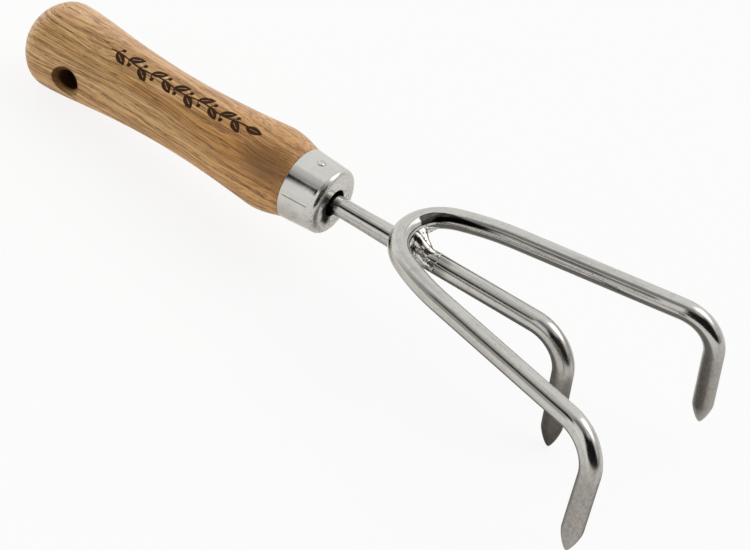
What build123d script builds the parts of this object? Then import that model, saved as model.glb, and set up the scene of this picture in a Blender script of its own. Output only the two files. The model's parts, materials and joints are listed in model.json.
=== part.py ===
from build123d import *
import math
import os

# Hand cultivator: a turned ash handle, a pressed steel ferrule and three round-rod tines.
# Lengths are millimetres and angles are degrees. The tool is drawn along its own axis, with
# +X from the butt to the tines, +Y across the tines, +Z up, and its working origin at the
# centre of the ferrule's front. It is tilted into the pose in which it rests at the end.

# Round rod that both welded pieces are bent from
ROD_RADIUS = 4.0
BEND_RADIUS = 15.5          # centre line of the bend into each tine
POINT_LENGTH = 10.0
POINT_SHOULDER = 0.22       # share of the point's length that keeps nearly the rod's full width
POINT_TAPER = (0.38, 0.93)  # the point's width and length, as shares, where it starts to round off

# Bend and straight drop of each tine. They were bent by hand, so no two are quite alike.
CENTRE_BEND = (86.2, 24.2)
LEFT_BEND = (84.0, 24.2)    # on the +Y side
RIGHT_BEND = (86.2, 22.9)   # on the -Y side

# Centre rod: tang, shank and centre tine in one piece
TANG_LENGTH = 75.0
TANG_CHAMFER = 1.2
CENTRE_BEND_X = 87.5        # where the centre rod starts to bend down

# Outer fork: one rod bent into a U that lies on the shank
FORK_BACK_X = 31.4          # centre line at the back of the U
FORK_HEIGHT = 8.3           # centre line above the shank's centre line
FORK_DIP = 1.5              # the U falls this much towards its tines
U_RADIUS = 19.4
U_ANGLE = 62.5
FLARE_RADIUS = 83.5
LEG_ANGLE = 12.4            # between a straight leg and the tool's axis
LEG_LENGTH = 63.5
TINE_SPLAY = 3.8            # outer tines lean outward

# Ferrule
FERRULE_LENGTH = 16.0
FERRULE_FRONT_RADIUS = 13.1
FERRULE_BACK_RADIUS = 14.0
FERRULE_SHOULDER = 3.2
FERRULE_WALL = 1.0
DISH_DEPTH = 0.3            # the front face is sunk a little towards its hole
DISH_SLOPE = 0.1            # at the hole
SHANK_HOLE_RADIUS = 5.3

# Ferrule pin, driven straight down at the top
PIN_X = -8.7
PIN_RADIUS = 0.9
PIN_HEAD_RADIUS = 1.4
PIN_HEAD_HEIGHT = 0.45
PIN_HEAD_LIFT = 0.2         # the head's flat underside stands this much above the dimple's floor
DIMPLE_RADIUS = 1.9
DIMPLE_DEPTH = 0.35

# Handle
SHOULDER_X = -28.5
SHOULDER_RADIUS = 16.35
SHOULDER_ROOT_RADIUS = 13.9
SHOULDER_RISE = (-18.5, 14.35)
WAIST_X = -73.0
WAIST_RADIUS = 14.0
BUTT_X = -130.5
BUTT_RADIUS = 17.5
BUTT_CORNER_RADIUS = 10.0
CREST_REACH = (5.0, 4.0)    # how far the outline runs level at each place, ahead of it and behind
WAIST_REACH = (23.0, 28.0)
BUTT_REACH = 13.0
HANDLE_END_X = -144.5
SPIGOT_GAP = 0.02
SPIGOT_END_X = -3.4
SPIGOT_CHAMFER = 2.6
BORE_RADIUS = 4.35
BORE_END_X = -77.0

# Hanging hole across the handle
HOLE_X = -116.0
HOLE_Z = -1.4
HOLE_RADIUS = 4.25
HOLE_ROUNDING = 2.0

# Weld metal
CROTCH_WELD_X = 40.0
CROTCH_WELD_RADIUS = 9.0
CROTCH_WELD_TOP = 7.4
CROTCH_WELD_BOTTOM = 1.0
BACK_WELD_X = 27.8
BACK_WELD_Z = 4.9
BACK_WELD_RADIUS = 1.9
BACK_WELD_HALF_LENGTH = 3.0

# Pose at rest: nose up until the butt and the centre tine's point touch one plane
REST_TILT = 7.5


def revolved(outline):
    """Solid of revolution about X from a closed outline in (x, radius)."""
    return revolve(Plane.XZ * make_face(outline), Axis.X)


def tine_point():
    """Blunt point on a rod's end: base on the XY plane, pointing along +Z."""
    flank = Bezier(
        (ROD_RADIUS, 0),
        (ROD_RADIUS, POINT_SHOULDER * POINT_LENGTH),
        (POINT_TAPER[0] * ROD_RADIUS, POINT_TAPER[1] * POINT_LENGTH),
        (0, POINT_LENGTH),
    )
    outline = Curve() + [Line((0, 0), (ROD_RADIUS, 0)), flank, Line((0, POINT_LENGTH), (0, 0))]
    return revolve(Plane.XZ * make_face(outline), Axis.Z)


def tine_edges(start, forward, down, shape):
    """Centre line of one tine: the bend from forward to down, then the straight drop."""
    bend_angle, drop_length = shape
    bend_plane = Plane(origin=start, x_dir=forward, z_dir=forward.cross(down))
    bend = bend_plane * JernArc((0, 0), (1, 0), BEND_RADIUS, bend_angle)
    heading = bend % 1
    drop = Line(bend @ 1, bend @ 1 + heading * drop_length)
    return [bend, drop]


def point_at_end(tine):
    """Point in line with the end of a tine's last edge."""
    drop = tine[-1]
    return Plane(origin=drop @ 1, z_dir=drop % 1) * tine_point()


def bent_rod(edges):
    """Plain round rod along tangent edges."""
    path = Wire(edges)
    section = Plane(origin=path @ 0, z_dir=path % 0) * Circle(ROD_RADIUS)
    return sweep(section, path=path)


def centre_tine_rod():
    """Tang, shank and centre tine, bent from one rod."""
    back = Vector(-TANG_LENGTH, 0, 0)
    bend_start = Vector(CENTRE_BEND_X, 0, 0)
    tine = tine_edges(bend_start, Vector(1, 0, 0), Vector(0, 0, -1), CENTRE_BEND)
    rod = bent_rod([Line(back, bend_start)] + tine) + point_at_end(tine)
    return chamfer(rod.edges().sort_by(Axis.X)[0], TANG_CHAMFER)


def fork_side(shape):
    """The fork's centre line on the +Y side: the back of the U, its flare, a leg and a tine."""
    dip = math.radians(FORK_DIP)
    along = Vector(math.cos(dip), 0, -math.sin(dip))
    normal = Vector(math.sin(dip), 0, math.cos(dip))
    fork_plane = Plane(origin=(FORK_BACK_X, 0, FORK_HEIGHT), x_dir=along, z_dir=normal)
    back_arc = CenterArc((U_RADIUS, 0), U_RADIUS, 180 + U_ANGLE, -2 * U_ANGLE)
    flare = JernArc(back_arc @ 1, back_arc % 1, FLARE_RADIUS, U_ANGLE + LEG_ANGLE - 90)
    leg = Line(flare @ 1, flare @ 1 + (flare % 1) * LEG_LENGTH)
    back_edge, flare_edge, leg_edge = [fork_plane * edge for edge in (back_arc, flare, leg)]
    forward = leg_edge % 1
    outward = normal.cross(forward)
    splay = math.radians(TINE_SPLAY)
    down = outward * math.sin(splay) - normal * math.cos(splay)
    return back_edge, [flare_edge, leg_edge] + tine_edges(leg_edge @ 1, forward, down, shape)


def outer_tine_fork():
    """One rod bent into a U with a tine on each end."""
    back_edge, left_side = fork_side(LEFT_BEND)
    _, other_side = fork_side(RIGHT_BEND)
    right_side = [edge.mirror(Plane.XZ) for edge in other_side]
    rod = bent_rod(right_side[::-1] + [back_edge] + left_side)
    return rod + point_at_end(left_side) + mirror(point_at_end(other_side), about=Plane.XZ)


def dish_curve(offset):
    """Slightly sunken face between the ferrule's crest and its hole, moved along X by offset."""
    return Spline(
        (offset, FERRULE_FRONT_RADIUS - FERRULE_SHOULDER),
        (offset - DISH_DEPTH, SHANK_HOLE_RADIUS),
        tangents=((0, -1), (-DISH_SLOPE, -1)),
    )


def pin_seat():
    """Height of the ferrule's surface under the pin's head."""
    taper = (FERRULE_BACK_RADIUS - FERRULE_FRONT_RADIUS) / (FERRULE_LENGTH - FERRULE_SHOULDER)
    return FERRULE_FRONT_RADIUS + taper * (-PIN_X - FERRULE_SHOULDER)


def pin_hole():
    """Hole for the pin, from above the ferrule down to the tang's bore."""
    length = pin_seat() + 1 - BORE_RADIUS
    return Pos(PIN_X, 0, BORE_RADIUS + length / 2) * Cylinder(PIN_RADIUS, length)


def ferrule():
    """Pressed cup with a rounded shoulder and a dished front around the shank's hole."""
    shoulder_centre = (-FERRULE_SHOULDER, FERRULE_FRONT_RADIUS - FERRULE_SHOULDER)
    outer_back = (-FERRULE_LENGTH, FERRULE_BACK_RADIUS)
    outer_front = (-FERRULE_SHOULDER, FERRULE_FRONT_RADIUS)
    inner_back = (-FERRULE_LENGTH, FERRULE_BACK_RADIUS - FERRULE_WALL)
    inner_front = (-FERRULE_SHOULDER, FERRULE_FRONT_RADIUS - FERRULE_WALL)
    outer_dish = dish_curve(0)
    inner_dish = dish_curve(-FERRULE_WALL)
    outline = Curve() + [
        Line(outer_back, outer_front),
        CenterArc(shoulder_centre, FERRULE_SHOULDER, 90, -90),
        outer_dish,
        Line(outer_dish @ 1, inner_dish @ 1),
        inner_dish,
        CenterArc(shoulder_centre, FERRULE_SHOULDER - FERRULE_WALL, 0, 90),
        Line(inner_front, inner_back),
        Line(inner_back, outer_back),
    ]
    sphere_radius = (DIMPLE_RADIUS**2 + DIMPLE_DEPTH**2) / (2 * DIMPLE_DEPTH)
    dimple = Pos(PIN_X, 0, pin_seat() - DIMPLE_DEPTH + sphere_radius) * Sphere(sphere_radius)
    return revolved(outline) - pin_hole() - dimple


def ferrule_pin():
    """Small pin with a low domed head, seated in the ferrule's dimple."""
    head_base = pin_seat() - DIMPLE_DEPTH + PIN_HEAD_LIFT
    head_top = head_base + PIN_HEAD_HEIGHT
    outline = Curve() + [
        Line((0, BORE_RADIUS), (PIN_RADIUS, BORE_RADIUS)),
        Line((PIN_RADIUS, BORE_RADIUS), (PIN_RADIUS, head_base)),
        Line((PIN_RADIUS, head_base), (PIN_HEAD_RADIUS, head_base)),
        RadiusArc(
            (PIN_HEAD_RADIUS, head_base),
            (0, head_top),
            -(PIN_HEAD_RADIUS**2 + PIN_HEAD_HEIGHT**2) / (2 * PIN_HEAD_HEIGHT),
        ),
        Line((0, head_top), (0, BORE_RADIUS)),
    ]
    return Pos(PIN_X, 0, 0) * revolve(Plane.XZ * make_face(outline), Axis.Z)


def butt_arcs():
    """Rounded corner and flatter dome that close the handle's butt."""
    reach = BUTT_X - HANDLE_END_X
    rise = BUTT_RADIUS - BUTT_CORNER_RADIUS
    dome_radius = (reach**2 + rise**2 - BUTT_CORNER_RADIUS**2) / (2 * (reach - BUTT_CORNER_RADIUS))
    dome_x = HANDLE_END_X + dome_radius
    joint_angle = math.degrees(math.atan2(rise, BUTT_X - dome_x))
    corner = CenterArc((BUTT_X, rise), BUTT_CORNER_RADIUS, 90, joint_angle - 90)
    dome = CenterArc((dome_x, 0), dome_radius, joint_angle, 180 - joint_angle)
    return [corner, dome]


def spigot_radius(x):
    """Radius of the wood inside the ferrule's tapered wall."""
    taper = (FERRULE_BACK_RADIUS - FERRULE_FRONT_RADIUS) / (FERRULE_LENGTH - FERRULE_SHOULDER)
    return FERRULE_FRONT_RADIUS - taper * (x + FERRULE_SHOULDER) - FERRULE_WALL - SPIGOT_GAP


def grip_curves():
    """Outline of the bare wood: round shoulder, slim waist and flared butt."""
    root = (-FERRULE_LENGTH, SHOULDER_ROOT_RADIUS)
    crest = (SHOULDER_X, SHOULDER_RADIUS)
    waist = (WAIST_X, WAIST_RADIUS)
    butt = (BUTT_X, BUTT_RADIUS)
    return [
        Bezier(root, SHOULDER_RISE, (SHOULDER_X + CREST_REACH[0], SHOULDER_RADIUS), crest),
        Bezier(
            crest,
            (SHOULDER_X - CREST_REACH[1], SHOULDER_RADIUS),
            (WAIST_X + WAIST_REACH[0], WAIST_RADIUS),
            waist,
        ),
        Bezier(
            waist,
            (WAIST_X - WAIST_REACH[1], WAIST_RADIUS),
            (BUTT_X + BUTT_REACH, BUTT_RADIUS),
            butt,
        ),
    ]


def handle():
    """Turned grip with a spigot for the ferrule, a tang bore and a rounded hanging hole."""
    chamfer_x = SPIGOT_END_X - SPIGOT_CHAMFER
    spigot_points = [
        (HANDLE_END_X, 0),
        (SPIGOT_END_X, 0),
        (SPIGOT_END_X, spigot_radius(chamfer_x) - SPIGOT_CHAMFER),
        (chamfer_x, spigot_radius(chamfer_x)),
        (-FERRULE_LENGTH, spigot_radius(-FERRULE_LENGTH)),
        (-FERRULE_LENGTH, SHOULDER_ROOT_RADIUS),
    ]
    outline = Curve() + [Polyline(*spigot_points)] + grip_curves() + butt_arcs()
    turned = revolved(outline)
    bore_length = SPIGOT_END_X - BORE_END_X
    tang_bore = Pos(BORE_END_X, 0, 0) * Rot(0, 90, 0) * Cylinder(
        BORE_RADIUS, bore_length, align=(Align.CENTER, Align.CENTER, Align.MIN)
    )
    across = Pos(HOLE_X, 0, HOLE_Z) * Rot(90, 0, 0)
    drilled = turned - tang_bore - pin_hole() - across * Cylinder(HOLE_RADIUS, 4 * BUTT_RADIUS)
    rims = [
        edge
        for edge in drilled.edges()
        if abs(edge.center().X - HOLE_X) < HOLE_RADIUS and abs(edge.center().Y) > WAIST_RADIUS
    ]
    return fillet(rims, HOLE_ROUNDING)


def tang_resin(rod):
    """Cured resin that fills the bore around the tang and behind its end."""
    length = SPIGOT_END_X - BORE_END_X
    filling = Pos(BORE_END_X, 0, 0) * Rot(0, 90, 0) * Cylinder(
        BORE_RADIUS, length, align=(Align.CENTER, Align.CENTER, Align.MIN)
    )
    return filling - rod


def crotch_weld(rod, fork):
    """Mound of weld metal in the crotch of the U, on top of the centre rod."""
    height = CROTCH_WELD_TOP - CROTCH_WELD_BOTTOM
    ball_radius = (CROTCH_WELD_RADIUS**2 + height**2) / (2 * height)
    mound = Pos(CROTCH_WELD_X, 0, CROTCH_WELD_TOP - ball_radius) * Sphere(ball_radius)
    below = Pos(CROTCH_WELD_X, 0, CROTCH_WELD_BOTTOM) * Box(
        4 * CROTCH_WELD_RADIUS,
        4 * CROTCH_WELD_RADIUS,
        3 * ball_radius,
        align=(Align.CENTER, Align.CENTER, Align.MAX),
    )
    return mound - below - rod - fork


def back_weld(rod, fork):
    """Short bead with round ends, where the back of the U crosses the shank."""
    at_bead = Pos(BACK_WELD_X, 0, BACK_WELD_Z)
    end_y = BACK_WELD_HALF_LENGTH - BACK_WELD_RADIUS
    bar = at_bead * Rot(90, 0, 0) * Cylinder(BACK_WELD_RADIUS, 2 * end_y)
    ends = [at_bead * Pos(0, y, 0) * Sphere(BACK_WELD_RADIUS) for y in (-end_y, end_y)]
    return bar + ends - rod - fork


def main():
    rod = centre_tine_rod()
    fork = outer_tine_fork()
    parts = {
        "handle": handle(),
        "ferrule": ferrule(),
        "ferrule_pin": ferrule_pin(),
        "tang_resin": tang_resin(rod),
        "centre_tine_rod": rod,
        "outer_tine_fork": fork,
        "crotch_weld": crotch_weld(rod, fork),
        "back_weld": back_weld(rod, fork),
    }
    tilted = {name: Rot(0, -REST_TILT, 0) * part for name, part in parts.items()}
    box = Compound([part.solid() for part in tilted.values()]).bounding_box()
    to_origin = Pos(-box.center().X, -box.center().Y, -box.min.Z)
    os.makedirs("parts", exist_ok=True)
    for name, part in tilted.items():
        export_step(to_origin * part.solid(), f"parts/{name}.step")


main()
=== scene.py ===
import json
import math

import bmesh
import bpy
import numpy as np
from mathutils import Matrix, Vector, noise


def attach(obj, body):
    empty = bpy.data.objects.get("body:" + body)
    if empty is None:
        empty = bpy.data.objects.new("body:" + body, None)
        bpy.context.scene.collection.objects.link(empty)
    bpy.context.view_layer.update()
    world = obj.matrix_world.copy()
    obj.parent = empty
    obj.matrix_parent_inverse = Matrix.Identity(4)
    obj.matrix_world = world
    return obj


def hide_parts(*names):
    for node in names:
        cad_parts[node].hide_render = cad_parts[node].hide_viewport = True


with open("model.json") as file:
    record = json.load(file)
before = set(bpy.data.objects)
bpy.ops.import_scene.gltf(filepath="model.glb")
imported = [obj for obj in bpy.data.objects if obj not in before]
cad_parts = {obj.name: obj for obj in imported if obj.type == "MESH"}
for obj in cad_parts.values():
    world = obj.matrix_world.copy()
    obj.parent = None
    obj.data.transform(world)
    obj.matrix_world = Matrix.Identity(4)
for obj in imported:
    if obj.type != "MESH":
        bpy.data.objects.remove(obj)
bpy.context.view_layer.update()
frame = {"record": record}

# Hand cultivator. The pieces are drawn in the tool's own frame, in millimetres: +X from the butt
# to the tines, +Y across the tines, +Z up, with the origin at the centre of the ferrule's front.
# ROW carries that frame to the resting pose that the CAD nodes have, in metres.

MM = 0.001
SKIN = 0.02  # pieces stay this much inside the CAD surfaces

REST_TILT = math.radians(7.5)
HOLE_X = -116.0
HOLE_Z = -1.4

# Round rod
ROD_RADIUS = 4.0
BEND_RADIUS = 15.5
POINT_LENGTH = 10.0
POINT_SHOULDER = 0.22  # share of the point's length that keeps nearly the rod's full width
POINT_TAPER = (0.38, 0.93)  # the point's width and length, as shares, where it starts to round off
POINT_COUNT = 26
CENTRE_BEND = (86.2, 24.2)  # bend in degrees and straight drop of each tine
LEFT_BEND = (84.0, 24.2)  # on the +Y side
RIGHT_BEND = (86.2, 22.9)  # on the -Y side
TANG_LENGTH = 75.0
CENTRE_BEND_X = 87.5
ROD_SIDES = 56
ROD_STEP = 0.9  # between rings
ROD_DENT = 0.02  # how far the drawn surface is pulled in, about
SHANK_DRAW = 0.27  # how much slimmer the shank is where it enters the ferrule

# Outer fork
FORK_BACK_X = 31.4
FORK_HEIGHT = 8.3
FORK_DIP = 1.5
U_RADIUS = 19.4
U_ANGLE = 62.5
FLARE_RADIUS = 83.5
LEG_ANGLE = 12.4
LEG_LENGTH = 63.5
TINE_SPLAY = 3.8
FORK_SHARED = 16  # rings in which the two halves blend

# Ferrule and pin
FERRULE_LENGTH = 16.0
FERRULE_FRONT_RADIUS = 13.1
FERRULE_BACK_RADIUS = 14.0
FERRULE_SHOULDER = 3.2
FERRULE_WALL = 1.0
FERRULE_TAPER = (FERRULE_BACK_RADIUS - FERRULE_FRONT_RADIUS) / (FERRULE_LENGTH - FERRULE_SHOULDER)
RIM_REACH = 2.2  # how far the outline runs straight on towards the rim's corner
DISH_DEPTH = 0.3
SHANK_HOLE_RADIUS = 5.3
SEAM_ANGLE = 167.5  # degrees up from +Y over +Z, as all angles round the axis
SEAM_WIDTH = 0.6
SEAM_DEPTH = 0.12
WOBBLE = 0.035  # unevenness of the pressed side
PIN_X = -8.7
PIN_RADIUS = 0.9
PIN_HEAD_RADIUS = 1.4
PIN_HEAD_HEIGHT = 0.62
DIMPLE_RADIUS = 1.9
DIMPLE_DEPTH = 0.35
PIN_SIDES = 40
RESIN_SIDES = 72

# Handle
SHOULDER_X = -28.5
SHOULDER_RADIUS = 16.35
SHOULDER_ROOT_RADIUS = 13.9
SHOULDER_RISE = (-18.5, 14.35)
WAIST_X = -73.0
WAIST_RADIUS = 14.0
BUTT_X = -130.5
BUTT_RADIUS = 17.5
BUTT_CORNER_RADIUS = 10.0
CREST_REACH = (5.0, 4.0)  # how far the outline runs level at each place, ahead of it and behind
WAIST_REACH = (23.0, 28.0)
BUTT_REACH = 13.0
HANDLE_END_X = -144.5
SPIGOT_END_X = -3.4
SPIGOT_CHAMFER = 2.6
SPIGOT_PLAY = 0.05
BORE_RADIUS = 4.35
BORE_END_X = -77.0
HOLE_RADIUS = 4.25
HOLE_ROUNDING = 2.3
HOLE_SHADE, HOLE_SHADE_SWING = 0.7, 0.24  # darkness of its lip, partly end grain and partly painted shade, and how the painted shade varies round it

# Grid of the handle
SHOULDER_COUNT, BODY_COUNT, BUTT_COUNT = 400, 900, 14
SHOULDER_KEPT = slice(16, None, 12)  # the points of the fine outline that become rings
HOLE_BLOCK_X = (-107, -125)  # block of the grid that makes way for the hole
HOLE_BLOCK_ANGLES = (-38.0, 27.0)
HOLE_BLOCK_COLUMNS = 20
MOUTH_RINGS, LIP_RINGS, BORE_RINGS = 8, 10, 25

# Ornament
SPRIG_START_X = -105.0
SPRIG_END_X = -33.0
SPRIG_ANGLE = 108.5  # middle of the ornament
SPRIG_REACH = 5  # half its width, at most
STEM_SWING, STEM_WAVE = 0.45, 0.32
STEM_HALF_WIDTH = 0.34
LEAF_COUNT = 11
LEAF_ANGLE = 33  # between a leaf and the stem
LEAF_SIZE, END_LEAF_SIZE = (6.6, 3.3), (7.5, 3.5)
LEAF_VEIN = 0.13  # half width of the bare line along a leaf
BERRY_RADIUS = 0.85
BURN_DEPTH = 0.16

# Weld beads
WELD_VOXEL = 0.24
WELD_ROUNDS = 14  # of smoothing
WELD_RIPPLE = 0.12


def row_transform():
    """Tool frame to row frame, from the tilt and the hanging hole that both frames share."""
    mount = next(m for m in frame["record"]["mounts"] if m["name"] == "hanging_hole")
    turn = Matrix.Rotation(-REST_TILT, 4, "Y")
    hole = turn @ (Vector((HOLE_X, 0, HOLE_Z)) * MM)
    return Matrix.Translation(Vector(mount["pos_m"]) - hole) @ turn


ROW = row_transform()


# ---- mesh building


def ease(low, high, value):
    t = np.clip((value - low) / (high - low), 0, 1)
    return t * t * (3 - 2 * t)


def bezier(points, count):
    """Points along a cubic Bezier curve, both ends included."""
    t = np.linspace(0, 1, count + 1)[:, None]
    a, b, c, d = [np.array(p, float) for p in points]
    return a * (1 - t) ** 3 + 3 * b * t * (1 - t) ** 2 + 3 * c * t**2 * (1 - t) + d * t**3


def arc(centre, radius, start, end, count):
    """Points along an arc in the plane, angles in degrees."""
    turn = np.radians(np.linspace(start, end, count + 1))
    return np.stack([centre[0] + radius * np.cos(turn), centre[1] + radius * np.sin(turn)], 1)


def line(start, end, count):
    t = np.linspace(0, 1, count + 1)[:, None]
    return np.array(start, float) * (1 - t) + np.array(end, float) * t


def chain(*runs):
    """Runs of points joined end to end, the shared points kept once."""
    return np.vstack([runs[0]] + [run[1:] for run in runs[1:]])


def steps(*stops):
    """Values from stop to stop: a first value, then (value, count) pairs."""
    values = [np.array([stops[0]], float)]
    for value, count in stops[1:]:
        values.append(np.linspace(values[-1][-1], value, count + 1)[1:])
    return np.concatenate(values)


def nearest(values, wanted):
    """Index of the value nearest to the wanted one."""
    return int(np.argmin(np.abs(values - wanted)))


def noise_at(points, scale, seed):
    """Perlin noise at each point, about -1 to 1."""
    return np.array([noise.noise(Vector(p) * scale + Vector((seed, 0, 0))) for p in points])


def spread(outline, columns):
    """An outline's two coordinates as grids, the same in every column."""
    return [np.repeat(values[:, None], columns, 1) for values in outline.T]


def turned(x, radius, angles):
    """Points round the tool's axis, row by row, with the angles in radians up from +Y."""
    return np.stack([x, radius * np.cos(angles), radius * np.sin(angles)], -1).reshape(-1, 3)


def grid_faces(rows, columns):
    """Quads of a grid of vertices stored row by row, where each row is a closed ring."""
    i, j = np.meshgrid(np.arange(rows - 1), np.arange(columns), indexing="ij")
    here, after = i * columns + j, i * columns + (j + 1) % columns
    return np.stack([here, after, after + columns, here + columns], -1).reshape(-1, 4)


def fan_faces(ring, pole):
    """Triangles from a ring of vertex indices to one pole."""
    return [(ring[k], ring[(k + 1) % len(ring)], pole) for k in range(len(ring))]


def band_faces(loop, ring):
    """Quads between two closed loops of vertex indices."""
    after = [(k + 1) % len(loop) for k in range(len(loop))]
    return [(loop[k], loop[n], ring[n], ring[k]) for k, n in enumerate(after)]


def add_object(name, data):
    made = bpy.data.objects.new(name, data)
    bpy.context.scene.collection.objects.link(made)
    return made


def make_piece(name, points, faces, material, node, attributes=None):
    """A smooth closed mesh from millimetre points in the tool frame, standing for a CAD node.

    The mesh keeps each point's place in the tool frame, for its material."""
    points = np.asarray(points, float)
    used = np.unique(np.concatenate([np.ravel(f) for f in faces]).astype(int))
    renumber = np.full(len(points), -1)
    renumber[used] = np.arange(len(used))
    mesh = bpy.data.meshes.new(name)
    at_rest = [ROW @ (Vector(point) * MM) for point in points[used]]
    mesh.from_pydata(at_rest, [], [renumber[np.asarray(f, int)].tolist() for f in faces])
    for key, values in {"place": points, **(attributes or {})}.items():
        values = np.asarray(values, np.float32)[used]
        vector = values.ndim == 2
        attribute = mesh.attributes.new(key, "FLOAT_VECTOR" if vector else "FLOAT", "POINT")
        attribute.data.foreach_set("vector" if vector else "value", values.ravel())
    work = bmesh.new()
    work.from_mesh(mesh)
    bmesh.ops.recalc_face_normals(work, faces=work.faces)
    work.to_mesh(mesh)
    work.free()
    mesh.shade_smooth()
    mesh.materials.append(material)
    piece = add_object(name, mesh)
    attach(piece, "root")
    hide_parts(node)


# ---- material nodes


class Signal:
    """A value in a node tree. Arithmetic on it adds nodes to the tree."""

    def __init__(self, look, socket):
        self.look, self.socket = look, socket

    def clamped(self):
        """The same value, which the node that makes it now keeps from 0 to 1."""
        self.socket.node.use_clamp = True
        return self


def add_arithmetic(method, operation):
    setattr(Signal, method, lambda signal, *others: signal.look.math(operation, signal, *others))


for method, operation in (("__add__", "ADD"), ("__sub__", "SUBTRACT"), ("__mul__", "MULTIPLY"),
                          ("__truediv__", "DIVIDE"), ("__pow__", "POWER"), ("__abs__", "ABSOLUTE")):
    add_arithmetic(method, operation)


class Look:
    """A node tree with short calls. Arguments are numbers, colours or signals."""

    def __init__(self, name, kind=bpy.data.materials):
        self.owner = kind.new(name)
        self.owner.use_nodes = True
        self.tree = self.owner.node_tree
        self.tree.nodes.clear()

    def put(self, socket, value):
        if isinstance(value, Signal):
            self.tree.links.new(value.socket, socket)
        elif isinstance(value, tuple) and len(socket.default_value) == 4:
            socket.default_value = (*value, 1.0)
        else:
            socket.default_value = value

    def add(self, kind, *values, **settings):
        """A node with its settings, and with values on its first inputs."""
        made = self.tree.nodes.new(kind)
        for key, value in settings.items():
            setattr(made, key, value)
        for socket, value in zip(made.inputs, values):
            self.put(socket, value)
        return made

    def signal(self, kind, *values, output=0, **settings):
        return Signal(self, self.add(kind, *values, **settings).outputs[output])

    def named(self, kind, **values):
        """A signal from a node with values on inputs by name, with _ for a space."""
        made = self.add(kind)
        for key, value in values.items():
            self.put(made.inputs[key.replace("_", " ")], value)
        return Signal(self, made.outputs[0])

    def finish(self, shader, output="ShaderNodeOutputMaterial"):
        self.add(output, shader)
        return self.owner

    def surface(self, **values):
        """The whole material, from the sockets of a Principled shader."""
        return self.finish(self.named("ShaderNodeBsdfPrincipled", **values))

    def math(self, operation, *values):
        return self.signal("ShaderNodeMath", *values, operation=operation)

    def vector(self, operation, *values):
        output = "Value" if operation == "LENGTH" else "Vector"
        return self.signal("ShaderNodeVectorMath", *values, output=output, operation=operation)

    def stretched(self, vector, *scales):
        return self.vector("MULTIPLY", vector, scales)

    def axes(self, vector):
        made = self.add("ShaderNodeSeparateXYZ", vector)
        return [Signal(self, socket) for socket in made.outputs]

    def attribute(self, name, output="Fac"):
        return self.signal("ShaderNodeAttribute", output=output, attribute_name=name)

    def span(self, value, low, high, to_low=0.0, to_high=1.0):
        """How far a value is from low to high, eased, as a value from to_low to to_high."""
        return self.signal("ShaderNodeMapRange", value, low, high, to_low, to_high,
                           interpolation_type="SMOOTHSTEP")

    def mix(self, factor, a, b, blend="MIX"):
        made = self.add("ShaderNodeMix", factor, data_type="RGBA", blend_type=blend)
        self.put(made.inputs[6], a)
        self.put(made.inputs[7], b)
        return Signal(self, made.outputs[2])

    def layers(self, colour, *tints):
        """A colour with others over it, each given as (amount, colour)."""
        for amount, tint in tints:
            colour = self.mix(amount, colour, tint)
        return colour

    def noise(self, vector, scale, detail=2.0, roughness=0.5, distortion=0.0):
        """Noise at one scale, or at a scale for each axis."""
        if isinstance(scale, tuple):
            vector, scale = self.stretched(vector, *scale), 1.0
        return self.named("ShaderNodeTexNoise", Vector=vector, Scale=scale, Detail=detail,
                          Roughness=roughness, Distortion=distortion)

    def ramp(self, factor, *stops):
        """Greys at positions from 0 to 1."""
        made = self.add("ShaderNodeValToRGB", factor)
        elements = made.color_ramp.elements
        while len(elements) < len(stops):
            elements.new(0.5)
        for element, (position, grey) in zip(elements, stops):
            element.position = position
            element.color = (grey, grey, grey, 1)
        return Signal(self, made.outputs[0])

    def bump(self, height, distance, strength):
        """Relief of a given depth in millimetres."""
        return self.named("ShaderNodeBump", Strength=strength, Distance=distance * MM, Height=height)

    def by_ray(self, lit, seen):
        """One shader for all rays but the camera's, and one for the camera's."""
        camera_ray = self.signal("ShaderNodeLightPath", output="Is Camera Ray")
        return self.signal("ShaderNodeMixShader", camera_ray, lit, seen)


# ---- materials

# Ash
GRAIN_LEAN = (0.66, 0.75)  # how far the growth surfaces face +Y and +Z
PITH_DEPTH = 62.0
RING_PITCH = 3.1
FIGURE_PLACE = (-25.0, -10.5, 9.5)  # dark figure where the growth surfaces run out at the shoulder
ASH_DEEP, ASH_PALE = (0.75, 0.395, 0.125), (0.93, 0.58, 0.24)
ASH_TOP = (0.84, 0.5, 0.26)
ASH_LINE = (0.3, 0.122, 0.03)
ASH_EARLY = (0.33, 0.15, 0.045)
ASH_LIGHT = (0.92, 0.62, 0.31)
ASH_THREAD = (0.27, 0.108, 0.028)
ASH_PORE = (0.095, 0.036, 0.01)
ASH_FRONT = (0.92, 0.82, 0.64)  # multiplies the colour towards the ferrule
ASH_FIGURE = (0.24, 0.105, 0.026)
# end grain in the bores and the hanging hole, made near black with painted shade
ASH_END_GRAIN_AND_SHADE = (0.075, 0.029, 0.009)
CHAR_DARK, CHAR_BROWN = (0.026, 0.011, 0.005), (0.078, 0.034, 0.016)

# Rod
ROD_STEEL = (0.62, 0.605, 0.58)
# soil wear, and on the shank's underside also painted shade
ROD_WORN_AND_SHADED = (0.26, 0.235, 0.215)
ROD_PIT = (0.08, 0.07, 0.06)
ROD_TIP = (0.07, 0.065, 0.06)
# oxide stains and heat tint, also used for painted shade on the shank and a painted dark reflection in the U
OXIDE_AND_SHADE_DARK, OXIDE_AND_SHADE_BROWN = (0.012, 0.01, 0.011), (0.06, 0.044, 0.038)

# Ferrule
PRESSED_PALE, PRESSED_GREY = (0.7, 0.69, 0.665), (0.58, 0.57, 0.545)
SMUDGE = (0.34, 0.295, 0.25)
SPECK = (0.16, 0.145, 0.13)
# dark dirt in the seam and round the pin, and the painted shadow, dark reflection and shade round the shank
# hole
GRIME_AND_SHADE = (0.024, 0.02, 0.017)

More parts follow.
